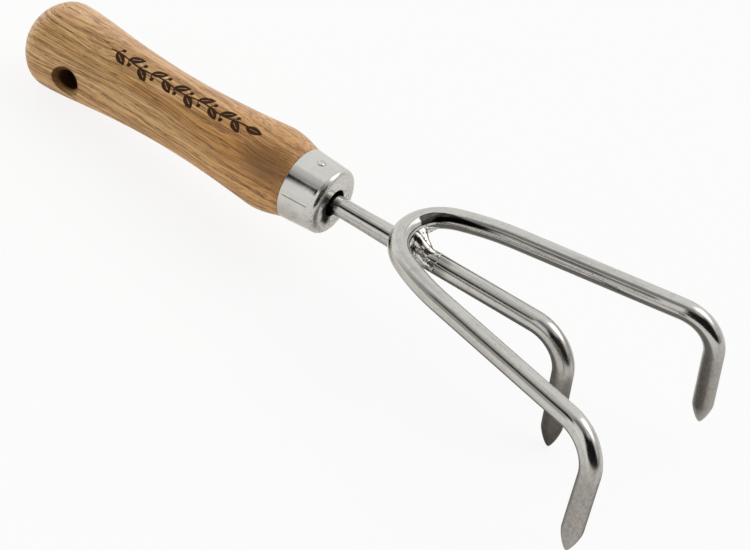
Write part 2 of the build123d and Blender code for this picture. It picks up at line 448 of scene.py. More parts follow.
# Weld and resin
WELD_BRIGHT, WELD_GREY = (0.78, 0.765, 0.735), (0.6, 0.57, 0.53)
# slag, and also painted shade under the weld's overhang
WELD_SLAG_AND_SHADE = (0.045, 0.036, 0.03)
RESIN_BROWN, RESIN_BLACK = (0.014, 0.01, 0.007), (0.006, 0.005, 0.004)
RESIN_DUST = (0.04, 0.034, 0.028)


def wood_material():
    """Lacquered ash: wandering growth lines, broken dark pores, fibres and a burnt ornament."""
    look = Look("lacquered_ash")
    place = look.attribute("place", "Vector")
    x, y, z = look.axes(place)

    # Growth surfaces about a far pith: close lines low on the near side, wide arches on the far top
    sway = look.noise(place, (0.014, 0.055, 0.055))
    wander = look.noise(place, (0.04, 0.26, 0.26), 3)
    across = y * GRAIN_LEAN[0] + z * GRAIN_LEAN[1]
    along = z * GRAIN_LEAN[0] - y * GRAIN_LEAN[1]
    ring = look.math("SQRT", (across + PITH_DEPTH) ** 2.0 + along**2.0)
    ring = ring + x * 0.022 + sway * 8.0 + wander * 1.5
    grain = look.signal("ShaderNodeCombineXYZ", x, ring, along)

    phase = look.math("FRACT", ring / RING_PITCH)
    early = look.ramp(phase, (0.0, 0.2), (0.12, 1.0), (0.38, 0.75), (0.55, 0.15), (0.9, 0.05), (1.0, 0.2))
    broad = look.noise(grain, (0.012, 0.22, 0.05))
    fine = look.noise(grain, (0.035, 1.25, 0.12), 4, 0.72)
    thread = look.noise(grain, (0.07, 3.4, 0.8), 3, 0.6)
    pores = look.noise(grain, (0.16, 2.9, 1.6), roughness=0.6)
    quiet = look.span(across, 7.0, 14.5, 1.0, 0.35)
    bands = early * quiet
    lines = look.span(fine, 0.5, 0.6) * quiet
    dashes = look.span(pores, 0.565, 0.62) * bands

    colour = look.layers(
        look.mix(look.span(broad, 0.3, 0.7), ASH_DEEP, ASH_PALE),
        (look.span(across, 6.0, 14.0, 0.0, 0.8), ASH_TOP),
        (lines * 0.8, ASH_LINE),
        (bands * 0.45, ASH_EARLY),
        (look.span(fine, 0.47, 0.37) * 0.6, ASH_LIGHT),
        (look.span(thread, 0.5, 0.6, 0.0, 0.62), ASH_THREAD),
        (dashes * 0.9, ASH_PORE),
    )
    colour = look.mix(look.span(x, -80.0, -32.0), colour, look.mix(1.0, colour, ASH_FRONT, "MULTIPLY"))
    off = look.stretched(look.vector("SUBTRACT", place, FIGURE_PLACE), 0.6, 1, 1)
    figure = look.vector("LENGTH", off) + fine * 9.0
    # hole marks the end grain and painted shade in the bores and on the hanging hole's lip
    hole, burn = look.attribute("hole"), look.attribute("burn")
    char = look.mix(look.noise(place, (0.5, 1.6, 1.6)), CHAR_DARK, CHAR_BROWN)
    colour = look.layers(colour, (look.span(figure, 13.5, 7.5, 0.0, 0.75), ASH_FIGURE), (hole, ASH_END_GRAIN_AND_SHADE),
                         (look.span(burn, 0.15, 0.75), char))

    dull = look.math("MAXIMUM", hole, burn)
    rough = (look.span(fine, 0.3, 0.8, 0.38, 0.5) + dashes * 0.2 + burn * 0.2).clamped()
    height = lines * -0.4 - thread * 0.3 - dashes
    return look.surface(
        Base_Color=colour, Roughness=rough, Normal=look.bump(height, 0.05, 0.7), IOR=1.46,
        Specular_IOR_Level=look.span(dull, 0.0, 0.8, 0.5, 0.1),
        Coat_Weight=look.span(dull, 0.0, 0.8, 0.22, 0.0), Coat_Roughness=0.2, Coat_IOR=1.5,
    )


def rod_material():
    """Bent round steel: drawn lines along the rod, small pits and duller, soil-worn tines."""
    look = Look("drawn_steel")
    flow = look.attribute("flow", "Vector")
    wear, tip = look.attribute("wear"), look.attribute("tip")
    lines = look.noise(flow, (0.08, 3.0, 3.0), 4, 0.7)
    streak = look.noise(flow, (0.022, 0.95, 0.95), 3, 0.6)
    broad = look.noise(flow, (0.045, 0.3, 0.3), 3)
    grit = look.noise(flow, (0.7, 0.9, 0.9), 4, 0.7)
    mottle = look.noise(flow, (0.35, 0.42, 0.42), 4, 0.65)
    pits = look.span(look.noise(flow, (1.1, 1.8, 1.8)), 0.64, 0.72)
    pits = pits * look.span(broad, 0.4, 0.62, 0.15, 1.0)
    # oxide stains and heat tint, with painted shade on the shank at the ferrule and by the weld, and a
    # painted dark reflection in the U
    tint = look.span(look.attribute("tint") + streak * 0.35, 0.4, 0.62)

    def steel(share):
        return tuple(share * c for c in ROD_STEEL)

    colour = look.layers(
        look.mix(broad, ROD_STEEL, steel(0.9)),
        (look.span(streak, 0.5, 0.72, 0.0, 0.45), steel(0.45)),
        (look.span(streak, 0.46, 0.32, 0.0, 0.3), steel(1.25)),
        (look.span(lines, 0.5, 0.78, 0.0, 0.26), steel(0.45)),
        (look.span(mottle, 0.5, 0.68, 0.0, 0.38), steel(0.62)),
        # soil wear on the tines, and on the shank's underside wear with painted shade
        (wear * look.span(grit, 0.35, 0.7, 0.48, 0.86), ROD_WORN_AND_SHADED),
        (tint * 0.95, look.mix(look.span(mottle, 0.4, 0.6), OXIDE_AND_SHADE_DARK, OXIDE_AND_SHADE_BROWN)),
        (pits * 0.7, ROD_PIT),
        (tip * 0.8, ROD_TIP),
    )
    rough = (look.span(lines, 0.3, 0.8, 0.1, 0.2) + wear * 0.2 + pits * 0.15).clamped()
    height = lines * 0.25 - pits * 0.8 + grit * wear * 1.2
    return look.surface(Metallic=1.0, Base_Color=colour, Roughness=rough,
                        Normal=look.bump(height, 0.014, 0.8))


def ferrule_material():
    """Polished pressed steel with smudges, fine draw marks, pits near the rim, dark dirt in the seam and
    round the pin, and painted shade, shadow and dark reflection round the shank hole.
    """
    look = Look("polished_ferrule")
    place = look.attribute("place", "Vector")
    x, _, z = look.axes(place)
    smear = look.noise(place, (0.1, 0.16, 0.16), 4, 0.6)
    hair = look.noise(place, (0.35, 5.0, 5.0), 3, 0.6)
    smudge = look.noise(place, (0.3, 0.55, 0.55), 4, 0.7, distortion=0.5)
    smudge = look.span(smudge, 0.5, 0.62) * look.span(z, 4.0, -6.0, 0.15, 1.0)
    zone = look.span(x, -3.0, -0.8) * look.span(z, 5.0, -6.0, 0.35, 1.0)
    speck = look.span(look.noise(place, 2.2, 3), 0.5, 0.6)
    speck = speck * (zone + look.span(x, -8.0, -3.0, 0.0, 0.12)).clamped()
    # dirt in the seam and round the pin, and painted shade, shadow and dark reflection round the shank hole
    grime_and_shade = look.span(look.attribute("grime_and_shade"), 0.0, 0.95)

    colour = look.layers(look.mix(smear, PRESSED_PALE, PRESSED_GREY), (smudge * 0.5, SMUDGE),
                         (speck * 0.6, SPECK), (grime_and_shade, GRIME_AND_SHADE))
    rough = look.span(smear, 0.35, 0.7, 0.045, 0.1) + look.span(x, -2.2, -0.2, 0.0, 0.1)
    rough = (rough + smudge * 0.1 + speck * 0.15 + grime_and_shade * 0.35).clamped()
    height = smear * 0.8 + hair * 0.12 - speck * 0.5
    matt = look.math("MAXIMUM", grime_and_shade, speck * 0.7)
    return look.surface(
        Metallic=look.math("SUBTRACT", 1.0, matt), Specular_IOR_Level=look.span(matt, 0.0, 1.0, 0.5, 0.02),
        Base_Color=colour, Roughness=rough, Normal=look.bump(height, 0.05, 0.6),
    )


def weld_material():
    """Bright weld metal that froze in ripples, with dark slag in its folds and painted shade where it hangs
    over the rod.
    """
    look = Look("weld_metal")
    place = look.attribute("place", "Vector")
    fold = look.attribute("fold")
    ripple = look.noise(place, (0.25, 0.6, 0.3), distortion=0.6)
    fine = look.noise(place, 2.2)
    colour = look.layers(look.mix(look.span(ripple, 0.35, 0.65), WELD_BRIGHT, WELD_GREY),
                         (fold * 0.92, WELD_SLAG_AND_SHADE))
    rough = (look.span(fine, 0.3, 0.8, 0.07, 0.16) + fold * 0.3).clamped()
    height = ripple + fine * 0.12
    return look.surface(Metallic=1.0, Base_Color=colour, Roughness=rough, Normal=look.bump(height, 0.07, 0.6))


def resin_material():
    """Dark cured resin with dust in it."""
    look = Look("cured_resin")
    place = look.attribute("place", "Vector")
    cloud = look.noise(place, 0.5, 3)
    dust = look.span(look.noise(place, 4.0), 0.55, 0.75)
    colour = look.mix(dust * 0.4, look.mix(cloud, RESIN_BROWN, RESIN_BLACK), RESIN_DUST)
    rough = look.span(dust, 0.0, 1.0, 0.22, 0.6)
    return look.surface(Base_Color=colour, Roughness=rough, Normal=look.bump(cloud, 0.2, 0.6))


# ---- handle


def grip_outline():
    """Bare wood from the ferrule to the butt's pole, as (x, radius): shoulder, body and butt."""
    root = (-FERRULE_LENGTH, SHOULDER_ROOT_RADIUS)
    crest = (SHOULDER_X, SHOULDER_RADIUS)
    waist = (WAIST_X, WAIST_RADIUS)
    butt = (BUTT_X, BUTT_RADIUS)
    reach = BUTT_X - HANDLE_END_X
    rise = BUTT_RADIUS - BUTT_CORNER_RADIUS
    dome = (reach**2 + rise**2 - BUTT_CORNER_RADIUS**2) / (2 * (reach - BUTT_CORNER_RADIUS))
    dome_x = HANDLE_END_X + dome
    joint = math.degrees(math.atan2(rise, BUTT_X - dome_x))
    shoulder = bezier([root, SHOULDER_RISE, (SHOULDER_X + CREST_REACH[0], SHOULDER_RADIUS), crest],
                      SHOULDER_COUNT)
    belly = bezier([crest, (SHOULDER_X - CREST_REACH[1], SHOULDER_RADIUS),
                    (WAIST_X + WAIST_REACH[0], WAIST_RADIUS), waist], BODY_COUNT)
    flare = bezier([waist, (WAIST_X - WAIST_REACH[1], WAIST_RADIUS),
                    (BUTT_X + BUTT_REACH, BUTT_RADIUS), butt], BODY_COUNT)
    corner = arc((BUTT_X, rise), BUTT_CORNER_RADIUS, 90, joint, BUTT_COUNT)
    cap = arc((dome_x, 0), dome, joint, 180, BUTT_COUNT)
    return shoulder, chain(belly, flare), chain(corner, cap)


def leaf(u, v, base, angle, length, width):
    """How far inside a pointed leaf each point is, in millimetres, below zero outside it."""
    turn = math.radians(angle)
    du, dv = u - base[0], v - base[1]
    t = (du * math.cos(turn) + dv * math.sin(turn)) / length
    side = np.abs(-du * math.sin(turn) + dv * math.cos(turn))
    half = width / 2 * np.sin(np.pi * np.clip(t, 0, 1) ** 0.85) ** 0.8
    on_vein = (t > 0.22) & (t < 0.72)
    inside = np.minimum(half - side, np.where(on_vein, side - LEAF_VEIN, half))
    return np.where((t > 0) & (t < 1), inside, -1.0)


def sprig(u, v):
    """The burnt ornament, a plain leafy sprig: how deep inside it each point is."""
    span = SPRIG_END_X - SPRIG_START_X
    stem = STEM_SWING * np.sin(u * STEM_WAVE)
    field = np.where((u > 0.5) & (u < span - 5.5), STEM_HALF_WIDTH - np.abs(v - stem), -1.0)
    pitch = (span - 11) / LEAF_COUNT
    for k in range(LEAF_COUNT):
        start = 1.5 + pitch * (k + 0.3)
        side = 1 if k % 2 else -1
        level = STEM_SWING * math.sin(start * STEM_WAVE)
        field = np.maximum(field, leaf(u, v, (start, level), side * LEAF_ANGLE, *LEAF_SIZE))
        berry = (start + 1.6, level - side * 1.9)
        field = np.maximum(field, BERRY_RADIUS - np.hypot(u - berry[0], v - berry[1]))
        stalk = np.abs((u - start) * 1.2 + (v - level) * side) / 1.6
        near = (np.abs(u - start - 0.8) < 1.1) & ((v - level) * side < 0) & (np.abs(v - level) < 1.7)
        field = np.maximum(field, np.where(near, 0.2 - stalk, -1.0))
    return np.maximum(field, leaf(u, v, (span - 7.0, 0.0), 0, *END_LEAF_SIZE))


def block_loop(top, bottom, first, last, columns):
    """Grid vertices round a block: along its top, down its last column, back, and up its first."""
    def between(a, b):
        return range(a, b, 1 if b > a else -1)

    return ([top * columns + column for column in between(first, last)]
            + [row * columns + last for row in between(top, bottom)]
            + [bottom * columns + column for column in between(last, first)]
            + [row * columns + first for row in between(bottom, top)])


def hole_rings(edge, side, radius):
    """Rings from the edge of a block over the surface, then round the hole's lip to its wall.

    Each ring comes with how dark the wood is there: end grain, and painted shade that is heaviest on one side
    of the lip."""
    turn = np.arctan2(edge[:, 2] - HOLE_Z, edge[:, 0] - HOLE_X)
    c, s = np.cos(turn), np.sin(turn)
    mouth = HOLE_RADIUS + HOLE_ROUNDING

    def height(x, z):
        return side * np.sqrt(radius(x) ** 2 - z**2)

    rings = []
    for k in range(1, MOUTH_RINGS + 1):
        t = k / MOUTH_RINGS
        x = edge[:, 0] * (1 - t) + (HOLE_X + mouth * c) * t
        z = edge[:, 2] * (1 - t) + (HOLE_Z + mouth * s) * t
        rings.append((np.stack([x, height(x, z), z], 1), 0.0))
    lip = rings[-1][0]
    small = 0.05
    slope = (height(lip[:, 0] - small * c, lip[:, 2] - small * s) - lip[:, 1]) / small
    rim_x, rim_z = HOLE_X + HOLE_RADIUS * c, HOLE_Z + HOLE_RADIUS * s
    wall = np.stack([rim_x, height(rim_x, rim_z) - side * HOLE_ROUNDING, rim_z], 1)
    from_lip = lip + np.stack([-c, slope, -s], 1) * 0.3 * HOLE_ROUNDING
    to_wall = wall + np.array([0, side * 0.25 * HOLE_ROUNDING, 0])
    # painted shade on the lip, heaviest on the side towards the butt and up
    shade = HOLE_SHADE - HOLE_SHADE_SWING * (c - s) / math.sqrt(2)
    for k in range(1, LIP_RINGS + 1):
        t = k / LIP_RINGS
        ring = lip * (1 - t) ** 3 + 3 * from_lip * t * (1 - t) ** 2
        ring = ring + 3 * to_wall * t**2 * (1 - t) + wall * t**3
        rings.append((ring, np.minimum(1, shade * min(1, 5 * t) + 0.45 * t**6)))
    return rings


def handle_piece():
    shoulder, body, butt = grip_outline()
    by_x = body[np.argsort(body[:, 0])]

    def radius(x):
        return np.interp(x, by_x[:, 0], by_x[:, 1]) - SKIN

    def spigot(x):
        return FERRULE_FRONT_RADIUS - FERRULE_TAPER * (x + FERRULE_SHOULDER) - FERRULE_WALL - SPIGOT_PLAY

    # Rings from the end of the bore, out round the spigot and along the grip to the butt
    front = SPIGOT_END_X
    inside = np.array([
        (BORE_END_X, BORE_RADIUS), (BORE_END_X / 2, BORE_RADIUS), (front - 0.4, BORE_RADIUS),
        (front, BORE_RADIUS + 0.4), (front, 6.5), (front, spigot(front) - SPIGOT_CHAMFER),
        (front - SPIGOT_CHAMFER, spigot(front)), (-11, spigot(-11)), (-15.6, spigot(-15.6)),
        (-16.0, SHOULDER_ROOT_RADIUS - 0.65),
    ])
    gap = np.array([(-16.02, SHOULDER_ROOT_RADIUS - 0.32), (-16.12, SHOULDER_ROOT_RADIUS - 0.05)])
    shoulder = shoulder[SHOULDER_KEPT]
    body_x = steps(SHOULDER_X, (-30, 6), (-106, 345), (HOLE_BLOCK_X[0], 1), (HOLE_BLOCK_X[1], 18),
                   (BUTT_X, 5))
    outer = np.vstack([shoulder, np.stack([body_x[1:], radius(body_x[1:])], 1)[:-1],
                       butt + np.array([SKIN, -SKIN])])
    outer[:, 1] = np.maximum(outer[:, 1] - np.where(outer[:, 0] > SHOULDER_X, SKIN, 0), 0)
    rings = np.vstack([inside, gap, outer[:-1]])
    first_body = len(inside) + len(gap) + len(shoulder)

    # Columns, closest under the ornament and even across each block that makes way for the hole
    low, high = HOLE_BLOCK_ANGLES
    angles = np.radians(steps(low, (high, HOLE_BLOCK_COLUMNS), (93, 20), (124, 36), (180 - high, 9),
                              (180 - low, HOLE_BLOCK_COLUMNS), (360 + low, 32))[:-1])
    columns = len(angles)
    x, r = spread(rings, columns)
    degrees = np.degrees(angles)

    # The burnt ornament, sunk into the surface
    v = (degrees[None, :] - SPRIG_ANGLE) * math.pi / 180 * r
    in_band = (x < SPRIG_END_X + 1) & (x > SPRIG_START_X - 1) & (np.abs(v) < SPRIG_REACH) & (r > 10)
    field = np.where(in_band, sprig(x - SPRIG_START_X, -v), -1.0)
    burn = ease(-0.12, 0.14, field)
    points = turned(x, r - BURN_DEPTH * burn, angles)
    burn = burn.reshape(-1)
    # the inner surfaces get end grain made near black with painted shade
    hole = np.zeros(len(points))
    hole[: len(inside) * columns] = 1.0

    # The hanging hole: a block of faces on each side makes way for rings round the hole
    top, bottom = [first_body + nearest(rings[first_body:, 0], edge) for edge in HOLE_BLOCK_X]
    near = (0, HOLE_BLOCK_COLUMNS)
    far = (nearest(degrees, 180 - high), nearest(degrees, 180 - low))
    quads = grid_faces(len(rings), columns)
    row, column = quads[:, 0] // columns, quads[:, 0] % columns
    in_block = ((column >= near[0]) & (column < near[1])) | ((column >= far[0]) & (column < far[1]))
    faces = quads[~((row >= top) & (row < bottom) & in_block)].tolist()
    extra, extra_hole, bores = [], [], []
    total = len(points)

    def add_ring(loop, ring_points, dark):
        """New points joined to the loop before them."""
        nonlocal total
        ring = list(range(total, total + len(loop)))
        total += len(loop)
        extra.append(ring_points)
        extra_hole.append(np.full(len(loop), 1.0) * dark)
        faces.extend(band_faces(loop, ring))
        return ring

    # the far side's columns run the other way, so its block is taken from its last column
    for side, (first, last) in ((1, near), (-1, far[::-1])):
        loop = block_loop(top, bottom, first, last, columns)
        for ring_points, dark in hole_rings(points[loop], side, radius):
            loop = add_ring(loop, ring_points, dark)
        bores.append((loop, ring_points))
    (loop, near_points), (far_loop, far_points) = bores
    for k in range(1, BORE_RINGS):
        t = k / BORE_RINGS
        loop = add_ring(loop, near_points * (1 - t) + far_points * t, 1.0)
    faces.extend(band_faces(loop, far_loop))

    poles = np.array([(BORE_END_X, 0, 0), (HANDLE_END_X + SKIN, 0, 0)], float)
    faces += fan_faces(range(columns), total)
    faces += fan_faces(range((len(rings) - 1) * columns, len(rings) * columns), total + 1)
    points = np.vstack([points] + extra + [poles])
    burn = np.concatenate([burn, np.zeros(len(points) - len(burn))])
    hole = np.concatenate([hole] + extra_hole + [np.array([1.0, 0.0])])
    make_piece("turned_handle", points, faces, wood_material(), "handle",
               {"burn": burn, "hole": hole})


# ---- ferrule, pin, resin


def ferrule_piece(material):
    front, back = FERRULE_FRONT_RADIUS, FERRULE_BACK_RADIUS
    end = -FERRULE_LENGTH
    inner_end = (end + 0.12, back - FERRULE_WALL)
    crest = (0, front - FERRULE_SHOULDER)
    lip = (-DISH_DEPTH, SHANK_HOLE_RADIUS)
    inner_lip = (lip[0] - FERRULE_WALL, lip[1] + 0.1)
    rolled = np.array([inner_end, (end, back - FERRULE_WALL + 0.14), (end, back - 0.25),
                       (end + 0.07, back - 0.07), (end + 0.25, back - 0.01)])
    face = chain(
        line(rolled[-1], (-FERRULE_SHOULDER, front), 40),
        bezier([(-FERRULE_SHOULDER, front), (RIM_REACH - FERRULE_SHOULDER, front),
                (0, crest[1] + RIM_REACH), crest], 18),
        bezier([crest, (0, crest[1] - 1.5), (lip[0] + 0.1, lip[1] + 1.2), lip], 14),
    )
    outline = chain(
        rolled,
        face,
        np.array([lip, (lip[0] - 0.12, lip[1] - 0.1), (lip[0] - 0.35, lip[1] - 0.14),
                  (lip[0] - 0.8, lip[1] - 0.1), inner_lip]),
        bezier([inner_lip, (-1.3, 6.6), (-FERRULE_WALL, 8.5), (-FERRULE_WALL, crest[1])], 6),
        arc((-FERRULE_SHOULDER, crest[1]), FERRULE_SHOULDER - FERRULE_WALL, 0, 90, 8),
        line((-FERRULE_SHOULDER, front - FERRULE_WALL), inner_end, 8),
    )[:-1]
    # columns are closest round the pin and along the seam
    angles = np.radians(steps(-20, (76, 40), (81, 5), (99, 30), (104, 5), (163, 26), (166, 3), (169, 12),
                              (172, 3), (340, 76))[:-1])
    x, r = spread(outline, len(angles))
    degrees = np.degrees(angles)[None, :]
    outside = np.zeros((len(outline), 1), bool)
    outside[len(rolled) - 1:len(rolled) + len(face)] = True

    # The pin's dimple with a low raised ring round it, and a thin closed seam down the near side
    off = np.hypot(x - PIN_X, (angles[None, :] - math.pi / 2) * r)
    sunk = DIMPLE_DEPTH * (1 - ease(0.35, 1.0, off / DIMPLE_RADIUS))
    raised = 0.05 * np.exp(-((off - DIMPLE_RADIUS * 1.05) / 0.35) ** 2)
    seam = np.exp(-(((degrees - SEAM_ANGLE) / SEAM_WIDTH) ** 2))
    seam = seam * ease(-15.2, -14.4, x) * (1 - ease(-4.6, -3.6, x))
    wobble = noise_at(turned(x, r, angles), 0.16, 4.0).reshape(r.shape)
    r = r + np.where(outside & (x < -0.3), raised - sunk - SEAM_DEPTH * seam, 0)
    r = r + np.where(outside, WOBBLE * wobble, 0)
    points = turned(x, r, angles)
    quads = grid_faces(len(outline) + 1, len(angles)) % len(points)

    # Dirt in the seam and round the pin; painted shadow beside the shank, a painted dark reflection from
    # there up to the rim, and painted shade on the hole's edge
    grime_and_shade = np.where(outside, 0.75 * seam, 0)
    grime_and_shade = np.maximum(grime_and_shade, 0.38 * np.exp(-((off - PIN_HEAD_RADIUS - 0.08) / 0.3) ** 2) * (x < -5))
    cloud = noise_at(points, 0.35, 8.0).reshape(r.shape)
    # painted shadow beside the shank
    beside = ease(134, 158, degrees) * (1 - ease(230, 272, degrees))
    beside = beside * (1 - ease(6.4, 10.2, r + 1.0 * cloud))
    # painted dark reflection from there up to the rim
    corner = ease(124, 138, degrees) * (1 - ease(146, 162, degrees))
    beside = np.maximum(beside, 0.85 * corner * (1 - ease(9.8, 12.6, r + 0.8 * cloud)))
    grime_and_shade = np.maximum(grime_and_shade, 0.98 * beside * (x > -0.8))
    # painted shade on the hole's edge
    edge = (1 - ease(SHANK_HOLE_RADIUS - 0.1, SHANK_HOLE_RADIUS + 0.45, r)) * (x > -2)
    grime_and_shade = np.maximum(grime_and_shade, 0.9 * edge)
    make_piece("pressed_ferrule", points, quads.tolist(), material, "ferrule",
               {"grime_and_shade": grime_and_shade.reshape(-1)})


def pin_piece(material):
    """A small pin with a low domed head, struck slightly flat on top."""
    seat = FERRULE_FRONT_RADIUS + FERRULE_TAPER * (-PIN_X - FERRULE_SHOULDER)
    base = seat - DIMPLE_DEPTH + 0.1
    root = BORE_RADIUS + 0.2
    head = bezier([(PIN_HEAD_RADIUS, base), (PIN_HEAD_RADIUS, base + 0.26), (0.8, base + PIN_HEAD_HEIGHT),
                   (0.02, base + PIN_HEAD_HEIGHT)], 14)
    neck = np.array([(PIN_RADIUS, base - 0.3), (1.25, base - 0.12), (PIN_HEAD_RADIUS, base)])
    outline = chain(line((PIN_RADIUS, root), neck[0], 3), neck, head)
    angles = np.linspace(0, 2 * math.pi, PIN_SIDES, endpoint=False)
    radius, height = outline[:, 0][:, None], outline[:, 1][:, None]
    z = height + 0.02 * np.cos(2 * angles) * (radius / PIN_HEAD_RADIUS) ** 2 * (height > base)
    points = np.stack([PIN_X + radius * np.cos(angles), radius * np.sin(angles), z], -1).reshape(-1, 3)
    points = np.vstack([points, [(PIN_X, 0, root), (PIN_X, 0, base + PIN_HEAD_HEIGHT)]])
    count = len(points) - 2
    faces = grid_faces(len(outline), PIN_SIDES).tolist()
    faces += fan_faces(range(PIN_SIDES), count)
    faces += fan_faces(range(count - PIN_SIDES, count), count + 1)
    grime_and_shade = 0.25 * ease(1.15, 1.35, np.hypot(points[:, 0] - PIN_X, points[:, 1]))
    make_piece("domed_pin", points, faces, material, "ferrule_pin", {"grime_and_shade": grime_and_shade})


def resin_piece():
    """Resin round the tang: a thin sleeve with a sagging meniscus at the mouth of the bore."""
    angles = np.linspace(0, 2 * math.pi, RESIN_SIDES, endpoint=False)
    inner, outer = ROD_RADIUS - 0.15, BORE_RADIUS + 0.01
    front = SPIGOT_END_X - 0.05
    back, tang_end = BORE_END_X + 0.2, -TANG_LENGTH - 0.1
    outline = np.array([(back, 0.05), (back, outer), (-40, outer), (front - 0.5, outer), (front, outer + 0.3),
                        (front, outer + 0.05), (front - 0.25, (inner + outer) / 2),
                        (front - 0.05, inner + 0.1), (front - 0.6, inner), (-40, inner),
                        (tang_end, inner), (tang_end, 0.05)])
    x, r = spread(outline, RESIN_SIDES)
    x = x + np.where(x > front - 0.4, 0.05 * np.sin(5 * angles) - 0.05, 0)
    points = turned(x, r, angles)
    quads = grid_faces(len(outline) + 1, RESIN_SIDES) % len(points)
    make_piece("resin_meniscus", points, quads.tolist(), resin_material(), "tang_resin")


# ---- rods


class Bend:
    """A centre line drawn from runs and turns, with an up direction carried along it."""

    def __init__(self, start, heading, up):
        self.place, self.heading, self.up = Vector(start), Vector(heading), Vector(up)
        self.length = 0.0
        self.stations = [(self.place.copy(), self.heading.copy(), self.up.copy(), 0.0)]

    def keep(self):
        self.stations.append((self.place.copy(), self.heading.copy(), self.up.copy(), self.length))

    def run(self, length):
        count = max(1, round(length / ROD_STEP))
        for _ in range(count):
            self.place += self.heading * (length / count)
            self.length += length / count
            self.keep()

    def turn(self, axis, radius, angle):
        angle = math.radians(angle)
        count = max(2, round(radius * angle / ROD_STEP))
        pivot = self.place + Vector(axis).cross(self.heading) * radius
        spin = Matrix.Rotation(angle / count, 3, Vector(axis))
        for _ in range(count):
            self.place = pivot + spin @ (self.place - pivot)
            self.heading = spin @ self.heading
            self.up = spin @ self.up
            self.length += radius * angle / count
            self.keep()

    def tine(self, down, shape):
        """Marks where the tine starts, then bends towards down and drops to the start of the point."""
        angle, drop = shape
        self.tine_start = self.length
        self.turn(self.heading.cross(down).normalized(), BEND_RADIUS, angle)
        self.run(drop)
        self.point_start = self.length


def rod_rings(bend):
    """Ring centres, frames, radii and lengths along a bend, with the blunt point added."""
    rows = [(p, h, u, ROD_RADIUS, s) for p, h, u, s in bend.stations]
    place, heading, up, length = bend.stations[-1]
    flank = bezier([(ROD_RADIUS, 0), (ROD_RADIUS, POINT_SHOULDER * POINT_LENGTH),
                    (POINT_TAPER[0] * ROD_RADIUS, POINT_TAPER[1] * POINT_LENGTH), (0, POINT_LENGTH)],
                   POINT_COUNT)
    for radius, rise in flank[1:-1]:
        rows.append((place + heading * rise, heading, up, radius, length + rise))
    return rows, place + heading * (POINT_LENGTH - SKIN)


def ring_points(rows, seed):
    """Points round each ring, pulled in a little here and there as on drawn and bent rod."""
    turn = np.linspace(0, 2 * math.pi, ROD_SIDES, endpoint=False)
    c, s = np.cos(turn), np.sin(turn)
    points, flow = [], []
    for place, heading, up, radius, length in rows:
        soft = np.array([
            noise.noise(Vector((length * 0.09 + seed, 0.55 * c[k], 0.55 * s[k]))) for k in range(ROD_SIDES)
        ])
        r = radius * (1 - SKIN / ROD_RADIUS) - ROD_DENT * (soft + 1) * min(1, radius / 2)
        side = heading.cross(up)
        points.append(np.array(place) + np.outer(r * c, np.array(up)) + np.outer(r * s, np.array(side)))
        flow.append(np.stack([np.full(ROD_SIDES, length), ROD_RADIUS * c, ROD_RADIUS * s], 1))
    return np.array(points), np.array(flow)


def rod_wear(flow, bend):
    """Soil wear from the tine's bend to its point, and the dark of the very point."""
    length = flow[..., 0]
    wear = ease(bend.tine_start + 12, bend.tine_start + 27, length)
    point_end = bend.point_start + POINT_LENGTH
    return wear, ease(point_end - 1.6, point_end - 0.2, length)


def rod_piece(name, node, material, rings, poles, attributes):
    """A closed rod from rings of points with a pole at each end. Attributes are (rings, at poles)."""
    def whole(values, at_poles):
        width = values.shape[2:]
        return np.concatenate([values.reshape(-1, *width), np.array(at_poles, float).reshape(-1, *width)])

    count = len(rings) * ROD_SIDES
    faces = grid_faces(len(rings), ROD_SIDES).tolist()
    faces += fan_faces(range(ROD_SIDES), count)
    faces += fan_faces(range(count - ROD_SIDES, count), count + 1)
    make_piece(name, whole(rings, poles), faces, material, node,
               {key: whole(*values) for key, values in attributes.items()})


def centre_rod_piece(material):
    bend = Bend((-TANG_LENGTH, 0, 0), (1, 0, 0), (0, 0, 1))
    bend.run(TANG_LENGTH + CENTRE_BEND_X)
    bend.tine(Vector((0, 0, -1)), CENTRE_BEND)
    rows, pole = rod_rings(bend)
    # the shank is drawn down a little where it enters the ferrule
    slim = [ROD_RADIUS - SHANK_DRAW * (1 - float(ease(10, 26, p.x))) for p, *_ in rows]
    rows = [(p, h, u, min(r, thin), s) for (p, h, u, r, s), thin in zip(rows, slim)]
    points, flow = ring_points(rows, 3.1)
    wear, tip = rod_wear(flow, bend)
    # rough, pitted underside of the shank, darkened further with painted shade; streaky stains along the
    # shank, painted shade under it at the ferrule, and heat tint with painted shade by the weld
    x, z = points[..., 0], points[..., 2]
    under = ease(0.5, -1.5, z) * (1 - 0.5 * ease(25, 31, x))
    wear = np.maximum(wear, 0.9 * under)
    # painted shade under the shank where it enters the ferrule
    tint = 0.4 * (1 - ease(0.2, 3.5, x)) * ease(2.0, -1.0, z)
    tint = tint + 0.24 * (1 - ease(26, 34, x))
    # heat tint by the weld, darkened further with painted shade
    tint = tint + 0.34 * ease(40, 44, x) * (1 - ease(48, 62, x))
    rod_piece("centre_rod", "centre_tine_rod", material, points, [(-TANG_LENGTH, 0, 0), tuple(pole)], {
        "flow": (flow, [(0, 0, 0), (bend.length + POINT_LENGTH, 0, 0)]),
        "wear": (wear, [0, 1]), "tip": (tip, [0, 1]), "tint": (tint, [0, 0]),
    })


